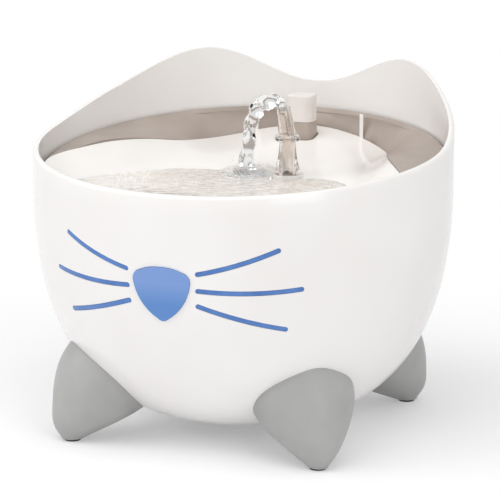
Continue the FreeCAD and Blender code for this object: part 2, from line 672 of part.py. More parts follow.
foam.Label = "foam_prefilter"


# A lead inside the pot: straight runs joined by tangent arcs, as large as the runs allow
def lead(label, corners):
    corners = [Vector(*corner) for corner in corners]
    edges, radii = [], []
    start = corners[0]
    for before, corner, after in zip(corners, corners[1:], corners[2:]):
        inward, outward = corner - before, after - corner
        half = inward.getAngle(outward) / 2
        trim = 0.45 * min(inward.Length, outward.Length)
        radius = trim / math.tan(half)
        radii.append(radius)
        entry = corner - inward.normalize() * trim
        leave = corner + outward.normalize() * trim
        toCentre = (outward - inward).normalize()
        middle = corner + toCentre * (radius / math.cos(half) - radius)
        edges += [Part.LineSegment(start, entry).toShape(), Part.Arc(entry, middle, leave).toShape()]
        start = leave
    edges.append(Part.LineSegment(start, corners[-1]).toShape())
    path = Part.Wire(edges)
    section = Part.Wire(Part.makeCircle(value("leadRadius"), corners[0], corners[1] - corners[0]))
    tube = path.makePipeShell([section], True, False)
    sound = math.pi * value("leadRadius") ** 2 * path.Length
    print(label, "length %.0f" % path.Length, "smallest radius %.1f" % min(radii),
          "volume ratio %.4f" % (tube.Volume / sound))
    return formed(label, tube)


inletSide = value("inletBack") - 7.2
hornEnd = 10
gripX = value(glandSide) - 7
gripY = value("pumpFront") + 30
lead("pump_lead", [(gripX, gripY, 30), (gripX - 14, gripY, 30), (-46, 53, 35), (-46, 68, 42), (-37, 79, 48),
                   (-hornEnd - 14, inletSide, value("inletHeight")),
                   (-hornEnd, inletSide, value("inletHeight"))])
lampLeadTop = value("noseBottom") - gasketGrow - 5
lead("lamp_lead", [(lampLeadX(), -lampBack - 4, lampLeadTop), (lampLeadX(), -lampBack - 4, lampLeadTop - 15),
                   (13, -93, 48), (28, -81, 38), (47, -65, 32), (62, -44, 30), (70, -19, 30), (69, 8, 32),
                   (61, 33, 37), (51, 53, 42), (38, 69, 46.5),
                   (hornEnd + 14.5, inletSide, value("inletHeight")),
                   (hornEnd, inletSide, value("inletHeight"))])

# The tray: a white dish and a taupe deck, which falls from two lobes at the back to the pool.
# Stations of the line between them: angle from the face, distance from the axis, height
deckLine = [(70, 114.2, 151.2), (75, 111.2, 152.2), (80, 105, 154.2), (85, 97, 156.4), (90, 91, 157.8),
            (99, 84.8, 157.8), (110, 82.5, 156), (122, 84.3, 153), (133, 89.5, 150), (142, 97.5, 147.2),
            (150, 104.6, 146.8), (157, 109, 149), (168, 109.6, 153.5), (180, 109.4, 156.5)]
collarRadius = value("bodyRadius") - value("wall") - value("trayGap")
deckClear = 0.25
deckRise = 0.3


def seamHeight(angle):
    """The deck's outer edge lies in one plane, tilted up towards the back."""
    return value("seamMean") - value("seamTilt") * math.cos(math.radians(angle))


def deckCurve(rise=0):
    """The deck's inner line, carried a little past the middle plane so that its halves meet smoothly."""
    line = deckLine + [(360 - angle, across, up) for angle, across, up in reversed(deckLine[-3:-1])]
    curve = Part.BSplineCurve()
    curve.interpolate([around(angle, across, up + rise) for angle, across, up in line])
    return curve


def makeDeck():
    line = deckLine + [(360 - angle, across, up) for angle, across, up in reversed(deckLine[-3:-1])]
    inner, outer = deckCurve(deckRise), Part.BSplineCurve()
    outer.interpolate([around(angle, collarRadius - 0.5, seamHeight(angle)) for angle, across, up in line])
    skin = Part.makeRuledSurface(inner.toShape(), outer.toShape())
    slab = doubled(skin.extrude(Vector(0, 0, -value("deckSkin"))))
    base = value("ledgeTop")
    collarIn = collarRadius - value("collarWall")
    profile = [Vector(collarIn - value("ledgeWidth"), 0, base), Vector(collarRadius, 0, base),
               Vector(collarRadius, 0, value("earTop")), Vector(collarIn, 0, value("earTop")),
               Vector(collarIn, 0, base + value("deckSkin")),
               Vector(collarIn - value("ledgeWidth"), 0, base + value("deckSkin"))]
    collar = Part.Face(Part.makePolygon(profile + profile[:1])).revolve(Vector(), Vector(0, 0, 1), 360)
    reach = value("bodyRadius") * 2
    above = Part.makeBox(2 * reach, 2 * reach, reach, Vector(-reach, -reach, 0))
    above.rotate(Vector(), Vector(1, 0, 0), math.degrees(math.atan2(value("seamTilt"), collarRadius)))
    above.translate(Vector(0, 0, value("seamMean") - value("deckSkin") * 0.82))
    return collar.cut(above).fuse(slab)


def dishHeight(spot, edgeHeight, left, bank):
    """Height of the dish: a pool, a gently rising floor behind it and a bank towards the edge."""
    behind = spot.y - value("shore")
    poolEnd = value("drainY") + value("drainRadius") * 1.9 - value("shore")
    if behind > 0:
        floor = value("waterLine") + value("beachSlope") * behind
    else:
        share = min(1, behind / poolEnd)
        floor = value("waterLine") - value("poolDepth") * math.sin(math.pi / 2 * share) ** 1.2
    return floor + (edgeHeight - floor) * max(0, 1 - left / bank) ** 1.5


def dishEdge():
    """The dish's edge on the +X side: along the collar at the front, then along the deck line."""
    front = [around(angle, collarRadius, value("trayEdge")) for angle in range(0, 69, 4)]
    line = deckCurve()
    first, last = line.FirstParameter, line.LastParameter
    rear = [line.value(first + (last - first) * step / 60) for step in range(61)]
    rear = [point for point in rear if point.x > 0]
    return front, rear + [Vector(0, rear[-1].y, rear[-1].z)]


def dishPlan():
    """The plan of the dish's +X side, as a tall solid."""
    front, rear = dishEdge()
    flat = [Vector(point.x, point.y, 0) for point in rear]
    curve = Part.BSplineCurve()
    inset = [point * (1 - deckClear / point.Length) for point in flat[::4] + [flat[-1]]]
    inset[-1].x = 0
    curve.interpolate(inset)
    chosen = (front[0], front[len(front) // 2], front[-1])
    start, middle, end = (Vector(point.x, point.y, 0) for point in chosen)
    edges = [Part.Arc(start, middle, end).toShape(), Part.LineSegment(end, inset[0]).toShape(),
             curve.toShape(), Part.LineSegment(inset[-1], start).toShape()]
    return Part.Face(Part.Wire(edges)).extrude(Vector(0, 0, value("earTop")))


def dishSkin():
    """The dish's upper surface, from the drain outwards in even directions."""
    front, rear = dishEdge()
    drain = Vector(0, value("drainY"), 0)
    seen = []
    for point in front + rear:
        away = point - drain
        seen.append((math.degrees(math.atan2(away.x, away.y)), math.hypot(away.x, away.y), point.z))
    seen.sort()
    grid = []
    for course in range(-16, 197, 8):
        turn = abs((course + 180) % 360 - 180)
        length = between([(direction, far) for direction, far, up in seen], turn)
        edgeHeight = between([(direction, up) for direction, far, up in seen], turn)
        bank = smooth([(0, 26), (40, 26), (90, 44), (180, 46)], turn)
        along = Vector(math.sin(math.radians(course)), math.cos(math.radians(course)), 0)
        near = value("drainRadius") * 0.8
        flat = near + value("drainRadius") * 0.75
        reaches = [near, (near + flat) / 2, flat]
        reaches += [flat + share * (length + 1.5 - flat) for share in (0.25, 0.5, 0.75, 1)]
        row = []
        for gone in reaches:
            spot = drain + along * gone
            row.append(Vector(spot.x, spot.y, dishHeight(spot, edgeHeight, length - gone, bank)))
        grid.append(row)
    return smoothSkin(grid)


def between(stations, at):
    """Reads a value along straight lines between stations."""
    for (x0, y0), (x1, y1) in zip(stations, stations[1:]):
        if at <= x1:
            return y0 + (y1 - y0) * max(0, at - x0) / max(x1 - x0, 1e-9)
    return stations[-1][1]


def roundedOutline(width, depth, corner, middle):
    """A rectangle with round corners, in a level plane."""
    flat = Part.makeBox(width, depth, 1, middle - Vector(width / 2, depth / 2, 0))
    upright = [edge for edge in flat.Edges if abs(edge.tangentAt(edge.FirstParameter).z) > 0.9]
    rounded = flat.makeFillet(corner, upright)
    return min(rounded.Faces, key=lambda face: face.CenterOfMass.z).OuterWire


def roundedBar(shrink, low, high, flare=0):
    """A bar of the filler neck's section, made smaller by shrink, wider at its foot by flare."""
    width, depth = value("neckWidth") - 2 * shrink, value("neckDepth") - 2 * shrink
    corner = max(value("neckRound") - shrink, 1)
    low, high = Vector(0, value("neckY"), low), Vector(0, value("neckY"), high)
    foot = roundedOutline(width + 2 * flare, depth + 2 * flare, corner, low)
    return Part.makeLoft([foot, roundedOutline(width, depth, corner, high)], True)


trayFloorHeight = value("waterLine") - value("poolDepth")
collarFoot = trayFloorHeight - 12
spoutBase = value("waterLine") + 2
neckFoot = value("waterLine") - 4


def makeDish():
    skin = dishSkin()
    plan = dishPlan()
    slab = doubled(skin.extrude(Vector(0, 0, -value("traySkin"))).common(plan))
    over = doubled(skin.extrude(Vector(0, 0, value("bodyRadius"))))
    over.translate(Vector(0, 0, -value("traySkin") / 2))
    plan = doubled(plan)
    drain = Vector(0, value("drainY"), 0)
    radius = value("drainRadius")
    stem = Part.makeCylinder(radius + value("drainWall"), 20, drain + Vector(0, 0, collarFoot))
    below = [stem]
    for angle in (22, 60, 162):
        for side in (-1, 1):
            post = around(side * angle, collarRadius - value("collarWall") - 5.5,
                          value("ledgeTop") + value("deckSkin"))
            below.append(Part.makeCylinder(2.2, 40, post))
    below = [piece.common(plan).cut(over) for piece in below]
    spout = Vector(value("spoutX"), value("spoutY"), 0)
    socket = Part.makeCylinder(value("spoutFoot") + 1.8, 10, spout + Vector(0, 0, spoutBase - 10))
    dish = slab.fuse(below + [socket])
    holes = [Part.makeCylinder(radius, 40, drain + Vector(0, 0, collarFoot + 2)),
             Part.makeCylinder(radius - 2.4, 10, drain + Vector(0, 0, collarFoot - 1)),
             Part.makeCylinder(value("riserRadius") + 0.3, 20, spout + Vector(0, 0, spoutBase - 15)),
             Part.makeCylinder(value("spoutFoot") - 0.4, 5, spout + Vector(0, 0, spoutBase - 1.6)),
             roundedBar(-1.2, neckFoot - 10, value("neckTop"))]
    return dish.cut(holes)


formed("tray_deck", makeDeck())
formed("drinking_tray", makeDish())

# What hangs under the drain: strainer, basket, pad and carbon
strainer = Part.makeCylinder(value("drainRadius") - 0.3, 2.4, Vector(0, value("drainY"), collarFoot + 2))
knob = Part.makeCone(4, 2.6, 4, Vector(0, value("drainY"), collarFoot + 4.4))
drainHoles = []
for ring, count in ((8, 8), (13.5, 16)):
    for number in range(count):
        turn = 2 * math.pi * number / count
        foot = Vector(ring * math.cos(turn), value("drainY") + ring * math.sin(turn), collarFoot)
        drainHoles.append(Part.makeCylinder(1.5, 6, foot))
formed("drain_strainer", strainer.fuse(knob).cut(drainHoles))

basketTop = trayFloorHeight - value("traySkin") - 1
basketFoot = basketTop - value("basketDepth")
basketRadius = value("drainRadius") + value("drainWall") + 5
drainOuter = value("drainRadius") + value("drainWall") + 0.1
basketWall = value("drainWall")
inner = basketRadius - basketWall
cup = Part.makePolygon([Vector(*corner) for corner in (
    (0, 0, basketFoot), (basketRadius, 0, basketFoot), (basketRadius, 0, basketTop),
    (drainOuter, 0, basketTop),
    (drainOuter, 0, basketTop - 2), (inner, 0, basketTop - 2), (inner, 0, basketFoot + basketWall),
    (0, 0, basketFoot + basketWall), (0, 0, basketFoot))])
cup = Part.Face(cup).revolve(Vector(), Vector(0, 0, 1), 360)
slits = []
for number in range(12):
    turn = 30 * number
    slit = Part.makeBox(10, 2.4, 6, Vector(9, -1.2, basketFoot - 2))
    slit.rotate(Vector(), Vector(0, 0, 1), turn)
    window = Part.makeBox(8, 4, value("basketDepth") - 12, Vector(basketRadius - 5, -2, basketFoot + 5))
    window.rotate(Vector(), Vector(0, 0, 1), turn)
    slits += [slit, window]
basket = cup.cut(slits)
basket.translate(Vector(0, value("drainY"), 0))
formed("filter_basket", basket)
padTop = basketFoot + basketWall + 7
cylinder(str(inner - 0.4), "7", "0", "drainY", str(basketFoot + basketWall)).Label = "filter_pad"
cylinder(str(inner - 0.4), "11", "0", "drainY", str(padTop)).Label = "carbon_filter"

# The spout: a clear bell foot, and a ring with a leaning nozzle that swivels on it
pivot = value("spoutWaist") - 0.7
ringFoot = value("ringHeight")
spoutWay = value("spoutBore")


def makeSpoutFoot():
    foot, waist = value("spoutFoot"), value("spoutWaist")
    pivotTop = ringFoot + value("ringThick") - 0.4
    bell = Part.Arc(Vector(foot, 0, spoutBase + 2), Vector(waist + 0.9, 0, spoutBase + 9),
                    Vector(waist, 0, ringFoot - 2)).toShape()
    rest = Part.makePolygon([Vector(*corner) for corner in (
        (waist, 0, ringFoot - 2), (waist, 0, ringFoot - 0.1), (pivot, 0, ringFoot - 0.1),
        (pivot, 0, pivotTop),
        (spoutWay, 0, pivotTop), (spoutWay, 0, spoutBase), (foot, 0, spoutBase), (foot, 0, spoutBase + 2))])
    return Part.Face(Part.Wire([bell] + rest.Edges)).revolve(Vector(), Vector(0, 0, 1), 360)


def makeNozzle():
    thick = value("ringThick")
    low, tip = spoutWay + 1.9, value("nozzleTip")
    top = Vector(0, 0, ringFoot + thick)
    ring = Part.makeCylinder(value("spoutRing"), thick, Vector(0, 0, ringFoot))
    ring = ring.makeChamfer(thick / 4, [edge for edge in ring.Edges if len(edge.Vertexes) == 1])
    cone = Part.makeCone(low, tip, value("nozzleLength"), top - Vector(0, 0, 0.8))
    lip = Part.makeCylinder(tip + 0.1, 1.2, top + Vector(0, 0, value("nozzleLength") - 2))
    way = Part.makeCone(spoutWay - 0.2, tip - 1.2, value("nozzleLength") + 3, top - Vector(0, 0, 1.4))
    for piece in (cone, lip, way):
        piece.rotate(top, Vector(0, 1, 0), -value("nozzleLean"))
    pivotHole = Part.makeCylinder(pivot + value("runningGap"), thick - 0.2, Vector(0, 0, ringFoot - 0.01))
    return ring.fuse([cone, lip]).cut([way, pivotHole])


spoutPlace = Vector(value("spoutX"), value("spoutY"), 0)
spoutFoot = makeSpoutFoot()
nozzle = makeNozzle()
for piece in (spoutFoot, nozzle):
    piece.translate(spoutPlace)
formed("spout_foot", spoutFoot)
formed("spout_nozzle", nozzle)
sealOut = "spoutFoot - 0.5"
sealIn = "riserRadius + 0.3"
turned("spout_seal", [(sealIn, "0"), (sealOut, "0"), (sealOut, "1.5"), (sealIn, "1.5")],
       "spoutX", "spoutY", "waterLine + 2 - 1.6")

# The filler neck through the tray's back, and its cap with a plug and a seal
neckTop = value("neckTop")
neck = roundedBar(0, neckFoot, neckTop, 0.9).cut(roundedBar(value("neckWall"), neckFoot - 1, neckTop + 1))
formed("filler_neck", neck)
capClear = 0.2
plugShrink = value("neckWall") + 0.5
capShell = roundedBar(0, neckTop + capClear, value("capTop"))
capEdges = [edge for edge in capShell.Edges if edge.BoundBox.ZMin > value("capTop") - 0.01]
capShell = capShell.makeFillet(0.9, capEdges)
capRoom = roundedBar(value("capSkin"), neckTop, value("capTop") - value("capSkin"))
plug = roundedBar(plugShrink, neckTop - 6, value("capTop") - value("capSkin") + 0.5)
plug = plug.cut(roundedBar(plugShrink + 1.4, neckTop - 7, value("capTop") - value("capSkin")))
formed("refill_cap", capShell.cut(capRoom).fuse(plug))
sealShrink = value("neckWall") + 0.25
capSeal = roundedBar(sealShrink, neckTop - 3.5, neckTop - 2).cut(roundedBar(plugShrink, neckTop - 4, neckTop))
formed("cap_seal", capSeal)

# Every sub-part's node name is its label
nodes = ["outer_shell", "foot_front_left", "foot_front_right", "foot_rear_left", "foot_rear_right",
         "foot_pads", "nose_lens", "nose_gasket", "lamp_housing", "lamp_screws", "led_board", "led_lights",
         "whiskers_left", "whiskers_right", "power_inlet", "inlet_pin", "inlet_seal", "inlet_nut",
         "inlet_cap", "pump_lead",
         "lamp_lead", "pump_housing", "pump_cover", "rear_bush", "front_bush", "impeller_shaft", "impeller",
         "impeller_magnet", "flow_dial", "dial_washer", "suction_cups", "riser_tube", "prefilter_cage",
         "foam_prefilter", "tray_deck", "drinking_tray", "drain_strainer", "filter_basket", "filter_pad",
         "carbon_filter", "spout_seal", "spout_foot", "spout_nozzle", "filler_neck", "refill_cap", "cap_seal"]

doc.recompute()
failed = [thing.Label for thing in doc.Objects if {"Invalid", "Error"} & set(thing.State)]
for node in nodes:
    shape = doc.getObjectsByLabel(node)[0].Shape
    if shape.isNull() or not shape.isValid() or not shape.Solids:
        failed.append(node)
if failed:
    raise RuntimeError("not sound: " + ", ".join(failed))
for node in nodes:
    doc.getObjectsByLabel(node)[0].Shape.exportStep("parts/%s.step" % node)
print(len(nodes), "nodes written")
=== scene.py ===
# Pet water fountain: finishes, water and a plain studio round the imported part.
# Metres, +Z up, the face looks towards -Y.
import json
import math

import bmesh
import bpy
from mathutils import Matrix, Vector
from mathutils.bvhtree import BVHTree


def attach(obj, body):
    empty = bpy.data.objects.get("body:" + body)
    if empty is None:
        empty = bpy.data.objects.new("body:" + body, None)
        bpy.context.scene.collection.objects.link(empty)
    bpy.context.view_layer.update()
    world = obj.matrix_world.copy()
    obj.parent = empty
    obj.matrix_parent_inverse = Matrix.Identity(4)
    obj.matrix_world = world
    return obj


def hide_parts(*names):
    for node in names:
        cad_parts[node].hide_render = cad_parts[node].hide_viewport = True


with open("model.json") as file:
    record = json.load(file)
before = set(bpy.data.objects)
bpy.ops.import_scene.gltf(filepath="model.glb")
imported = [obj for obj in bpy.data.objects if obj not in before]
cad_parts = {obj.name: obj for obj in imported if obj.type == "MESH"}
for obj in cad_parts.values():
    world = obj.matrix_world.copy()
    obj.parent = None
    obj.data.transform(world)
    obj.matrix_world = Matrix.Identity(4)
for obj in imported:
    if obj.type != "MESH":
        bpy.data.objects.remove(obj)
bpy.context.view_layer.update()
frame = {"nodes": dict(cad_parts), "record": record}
nodes = frame["nodes"]
slotOf = {part["node"]: part["material_slot"] for part in frame["record"]["subparts"]}
mm = 0.001
scene = bpy.context.scene
scene.view_settings.view_transform = "Standard"
print("frame loaded,", len(nodes), "nodes")


# sRGB hex text to a linear colour
def linear(hexText):
    shares = [int(hexText[start:start + 2], 16) / 255 for start in (1, 3, 5)]
    return [share / 12.92 if share <= 0.04045 else ((share + 0.055) / 1.055) ** 2.4 for share in shares] + [1]


def addNode(tree, kind, inputs, **settings):
    node = tree.nodes.new("ShaderNode" + kind)
    for name, setting in settings.items():
        setattr(node, name, setting)
    for name, given in inputs.items():
        if isinstance(given, bpy.types.NodeSocket):
            tree.links.new(given, node.inputs[name])
        else:
            node.inputs[name].default_value = given
    return node


# A finish with slow drifts of tone and a fine surface grain, both sized in millimetres
def finish(name, look, **sockets):
    material = bpy.data.materials.new(name)
    material.use_nodes = True
    tree = material.node_tree
    tree.nodes.clear()
    place = addNode(tree, "TexCoord", {})
    if "paintedLightByHeight" in look:  # the tone follows height, from the first value to the second: painted light and shade, darker low and lighter high
        heights = addNode(tree, "SeparateXYZ", {"Vector": place.outputs["Object"]})
        low, high = [height * mm for height in look["paintedLightByHeight"]]
        drift = addNode(tree, "MapRange", {"Value": heights.outputs["Z"], "From Min": low, "From Max": high})
        toneDriftOrPaintedLight = drift.outputs["Result"]
    else:
        drift = addNode(tree, "TexNoise", {"Vector": place.outputs["Object"],
                                           "Scale": 1 / (look["drift"] * mm), "Detail": 2,
                                           "Distortion": look.get("distortion", 0)})
        toneDriftOrPaintedLight = drift.outputs["Fac"]
    tones = addNode(tree, "ValToRGB", {"Fac": toneDriftOrPaintedLight})
    first, last = tones.color_ramp.elements
    first.position, first.color = 0.3, linear(look["shade"])
    last.position, last.color = 0.7, linear(look["colour"])
    if "lines" in look:  # painted reflection: darker taupe lines painted into the colour, standing in for the deck seen in the ripples
        first.position, last.position = 0.45, 0.55
        tones.color_ramp.elements.new(0.5).color = linear(look["lines"])
    stretched = addNode(tree, "Mapping", {"Vector": place.outputs["Object"],
                                          "Scale": look.get("stretch", (1, 1, 1))})
    pattern = look.get("pattern", "TexNoise")
    grain = addNode(tree, pattern, {"Vector": stretched.outputs["Vector"], "Scale": 1 / (look["grain"] * mm)})
    height = grain.outputs["Distance" if pattern == "TexVoronoi" else "Fac"]
    relief = addNode(tree, "Bump", {"Height": height, "Strength": look["relief"], "Distance": look["grain"] * mm})
    rough = addNode(tree, "MapRange", {"Value": height, "From Min": 0.3, "From Max": 0.7,
                                       "To Min": look["rough"] * 0.85, "To Max": look["rough"] * 1.15})
    shader = addNode(tree, "BsdfPrincipled", {"Base Color": tones.outputs["Color"],
                                              "Roughness": rough.outputs["Result"],
                                              "Normal": relief.outputs["Normal"],
                                              **{key.replace("_", " "): given for key, given in sockets.items()}})
    addNode(tree, "OutputMaterial", {"Surface": shader.outputs["BSDF"]})
    return material


# Polished white ABS, injection moulded: wet-looking gloss with the faint swell of a moulded wall
whiteAbs = finish("polishedWhiteAbs", {"colour": "#F4F2F0", "shade": "#EFECE9", "drift": 70, "grain": 6,
                                       "relief": 0.004, "rough": 0.17}, IOR=1.54)
# The dish is the same ABS, its colour painted a little lighter and warmer as painted light inside the bowl
dishAbsPaintedLight = finish("polishedDishAbsPaintedLight", {"colour": "#F7F4F1", "shade": "#F1EDE9", "drift": 45, "grain": 5,
                                     "relief": 0.004, "rough": 0.14}, IOR=1.54)
# The refill cap: warm white ABS painted a shade darker, as painted shade on its sides, with a satin, spark-eroded
# skin
capAbsPaintedShade = finish("satinCapAbsPaintedShade", {"colour": "#E9E3DE", "shade": "#E2DAD4", "drift": 14, "grain": 0.7,
                                "relief": 0.03, "rough": 0.38}, IOR=1.54)
# Soft-touch elastomer over the feet: even grey with a dull sheen
footElastomer = finish("softTouchElastomer", {"colour": "#ADADAB", "shade": "#A4A4A2", "drift": 24, "grain": 0.6,
                                              "relief": 0.05, "rough": 0.46}, IOR=1.5)
# Damped rubber pads: almost black and dull, with a pebbled skin
padRubber = finish("dampedRubber", {"colour": "#3A3A3A", "shade": "#2E2E2E", "drift": 5, "grain": 0.5,
                                    "relief": 0.2, "rough": 0.8}, IOR=1.52)
# Tinted polycarbonate lens: painted lighter towards its top and deeper blue below, a painted reflection on its
# upper half and painted shade under it; light scatters a little inside it
lensPaintedReflection = finish("tintedPolycarbonatePaintedReflection", {"colour": "#7095D2", "shade": "#4981C6", "paintedLightByHeight": (86, 117),
                                                   "grain": 3, "relief": 0.003, "rough": 0.1},
                           IOR=1.58, Coat_Weight=0.5, Coat_Roughness=0.04)
# Whiskers: blue ABS, glossy, with tone that drifts a little along each bar
whiskerAbs = finish("glossyBlueAbs", {"colour": "#5483C6", "shade": "#4473B8", "drift": 9, "grain": 0.8,
                                      "relief": 0.02, "rough": 0.22}, IOR=1.54)
# Taupe ABS of the deck: satin skin, finely eroded so that it hides water marks
taupeAbs = finish("satinTaupeAbs", {"colour": "#AFA39A", "shade": "#9D9087", "drift": 38, "grain": 0.7,
                                    "relief": 0.04, "rough": 0.4}, IOR=1.54)
# Filler neck: satin taupe ABS, painted darker towards its foot as painted shade
neckAbsPaintedShade = finish("satinNeckAbsPaintedShade", {"colour": "#AFA298", "shade": "#96877E", "paintedLightByHeight": (143, 160), "grain": 0.7,
                                  "relief": 0.03, "rough": 0.36}, IOR=1.54)
# Clear styrene resin, polished mould: refracts, with a trace of smoke in thick places
clearResin = finish("clearStyreneResin", {"colour": "#F2EEEA", "shade": "#E7E0DA", "drift": 8, "grain": 2,
                                          "relief": 0.004, "rough": 0.03}, IOR=1.57, Transmission_Weight=1.0)
# Moulded silicone seals: pale grey with a soft, slightly dusty sheen
silicone = finish("mouldedSilicone", {"colour": "#C2C2C0", "shade": "#B5B5B3", "drift": 8, "grain": 0.4,
                                      "relief": 0.08, "rough": 0.62}, IOR=1.41)
# Pump: black ABS, eroded coarsely so that its highlights break up
pumpAbs = finish("texturedBlackAbs", {"colour": "#2F3133", "shade": "#26282A", "drift": 18, "grain": 0.5,
                                      "relief": 0.12, "rough": 0.48}, IOR=1.54)
# Impeller: moulded grey acetal, waxy rather than glossy
rotorAcetal = finish("mouldedAcetal", {"colour": "#5C6167", "shade": "#4F545A", "drift": 7, "grain": 0.5,
                                       "relief": 0.06, "rough": 0.4}, IOR=1.48)
# Sintered ferrite: dark, granular and faintly metallic
ferrite = finish("sinteredFerrite", {"colour": "#2A2A2C", "shade": "#202022", "drift": 4, "grain": 0.3,
                                     "relief": 0.2, "rough": 0.55}, Metallic=0.6)
# Turned stainless: fine rings across the length of each shank
turnedSteel = finish("turnedStainless", {"colour": "#C4C5C6", "shade": "#AFB0B2", "drift": 3, "grain": 0.25,
                                         "relief": 0.06, "rough": 0.28, "stretch": (0.2, 3, 0.2)}, Metallic=1.0)
# Turned brass pin: warm, with fine turning rings
contactBrass = finish("turnedBrass", {"colour": "#CDB06A", "shade": "#B99A52", "drift": 2, "grain": 0.25,
                                      "relief": 0.05, "rough": 0.25, "stretch": (0.2, 3, 0.2)}, Metallic=1.0)
# Ground alumina bushes: off-white, dense and nearly glossy
alumina = finish("groundAlumina", {"colour": "#F0EEE5", "shade": "#E4E1D6", "drift": 3, "grain": 0.3,
                                   "relief": 0.03, "rough": 0.24}, IOR=1.76)
# Glass-fibre laminate: green, with its weave showing as small cells
laminate = finish("glassFibreLaminate", {"colour": "#2C6B45", "shade": "#225A39", "drift": 3, "grain": 0.5,
                                         "relief": 0.1, "rough": 0.35, "pattern": "TexVoronoi"}, IOR=1.55)
# Cast epoxy lamps: milky and warm
lampEpoxy = finish("castEpoxy", {"colour": "#F3EFD9", "shade": "#E8E2C6", "drift": 2, "grain": 0.6,
                                 "relief": 0.02, "rough": 0.2}, IOR=1.5)
# Open-cell foam: pores of about half a millimetre
foam = finish("openCellFoam", {"colour": "#3A3D42", "shade": "#282A2E", "drift": 3, "grain": 0.6,
                               "relief": 0.9, "rough": 0.95, "pattern": "TexVoronoi"})
# Needled felt: matt white, with fibres lying flat and a soft sheen
felt = finish("needledFelt", {"colour": "#EDEDEA", "shade": "#DADAD6", "drift": 3, "grain": 0.35,
                              "relief": 0.7, "rough": 0.95, "stretch": (1, 1, 0.25)}, Sheen_Weight=0.3)
# Packed carbon grains: black, rough and about a millimetre across
carbonGrains = finish("packedCarbonGrains", {"colour": "#232323", "shade": "#131313", "drift": 2, "grain": 1.1,
                                             "relief": 0.9, "rough": 0.85, "pattern": "TexVoronoi"})
# Soft lead jacket: pale, matt and slightly mottled
leadJacket = finish("softLeadJacket", {"colour": "#E4E4E2", "shade": "#DADAD8", "drift": 12, "grain": 0.5,
                                       "relief": 0.05, "rough": 0.5}, IOR=1.5)

finishes = {"pot_plastic": whiteAbs, "foot_rubber": footElastomer, "pad_rubber": padRubber,
            "blue_plastic": whiskerAbs, "taupe_plastic": taupeAbs, "dish_plastic": dishAbsPaintedLight,
            "clear_plastic": clearResin, "seal_rubber": silicone, "pump_plastic": pumpAbs,
            "rotor_plastic": rotorAcetal, "magnet_ferrite": ferrite, "steel": turnedSteel, "brass": contactBrass,
            "bush_ceramic": alumina, "board_laminate": laminate, "lamp_epoxy": lampEpoxy, "foam": foam,
            "filter_felt": felt, "carbon": carbonGrains, "lead_jacket": leadJacket}
ownFinish = {"nose_lens": lensPaintedReflection, "refill_cap": capAbsPaintedShade, "filler_neck": neckAbsPaintedShade}


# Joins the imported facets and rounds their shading, while edges sharper than the angle stay crisp
def smoothed(thing, crispAngle=32):
    thing.data.polygons.foreach_set("use_smooth", [True] * len(thing.data.polygons))
    weld = thing.modifiers.new("joinFacets", "WELD")
    weld.merge_threshold = 0.002 * mm
    crisp = thing.modifiers.new("crispEdges", "EDGE_SPLIT")
    crisp.split_angle = math.radians(crispAngle)


for name, node in nodes.items():
    node.data.materials.clear()
    node.data.materials.append(ownFinish.get(name) or finishes[slotOf[name]])
    smoothed(node)
print("finishes set on", len(nodes), "nodes")


def newPiece(name, corners, faces, material, body):
    mesh = bpy.data.meshes.new(name)
    mesh.from_pydata([Vector(corner) * mm for corner in corners], [], faces)
    mesh.polygons.foreach_set("use_smooth", [True] * len(mesh.polygons))
    mesh.materials.append(material)
    piece = bpy.data.objects.new(name, mesh)
    scene.collection.objects.link(piece)
    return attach(piece, body)


# Running water, almost colourless: it bends what lies behind it
water = finish("runningWater", {"colour": "#F7FAFC", "shade": "#F1F5F8", "drift": 30, "grain": 4,
                                "relief": 0.002, "rough": 0.02}, IOR=1.333, Transmission_Weight=1.0)
# Rippled water: the same, crossed by fine taupe lines painted into its colour, a painted reflection of the deck
# in its ripples
rippledWaterPaintedReflections = finish("rippledWaterPaintedReflections", {"colour": "#FDFCFA", "shade": "#FBFBFA", "lines": "#D6CAC0", "drift": 12,
                                       "distortion": 2.2, "grain": 5, "relief": 0.08, "rough": 0.02},
                      IOR=1.333, Transmission_Weight=1.0, Alpha=0.75)

# The pool lies in the dish, and a thin film runs into it from where the stream lands
pool = {"level": 142, "centre": (0, -26), "landing": (-5, 18), "film": 0.9, "filmReach": 12,
        "ripple": 0.2, "rippleLength": 7, "rippleFade": 30, "spokes": 280, "rings": 100,
        "drainBottom": 124.5}
# Waves thrown back by the dish: heading in degrees, length in millimetres, share of the height
crossWaves = ((20, 9.5, 0.4), (75, 7.2, 0.35), (140, 11.3, 0.4), (110, 5.9, 0.25))
dishMesh = nodes["drinking_tray"].data
dishTree = BVHTree.FromPolygons([vertex.co.copy() for vertex in dishMesh.vertices],
                                [tuple(polygon.vertices) for polygon in dishMesh.polygons])


def dishHeight(x, y):
    hit = dishTree.ray_cast(Vector((x, y, 200)) * mm, Vector((0, 0, -1)))[0]
    return max(hit.z / mm, pool["drainBottom"]) if hit else pool["drainBottom"]


def waterHeight(x, y, floor):
    away = math.hypot(x - pool["landing"][0], y - pool["landing"][1])
    wave = math.cos(2 * math.pi * away / pool["rippleLength"]) * math.exp(-away / pool["rippleFade"])
    for heading, length, share in crossWaves:
        along = x * math.cos(math.radians(heading)) + y * math.sin(math.radians(heading))
        wave += share * math.sin(2 * math.pi * along / length + heading)
    depth = max(pool["level"] - floor, pool["film"] * math.exp(-(away / pool["filmReach"]) ** 2))
    return floor + max(0, depth + pool["ripple"] * wave * min(1, max(depth, 0) / 1.5))


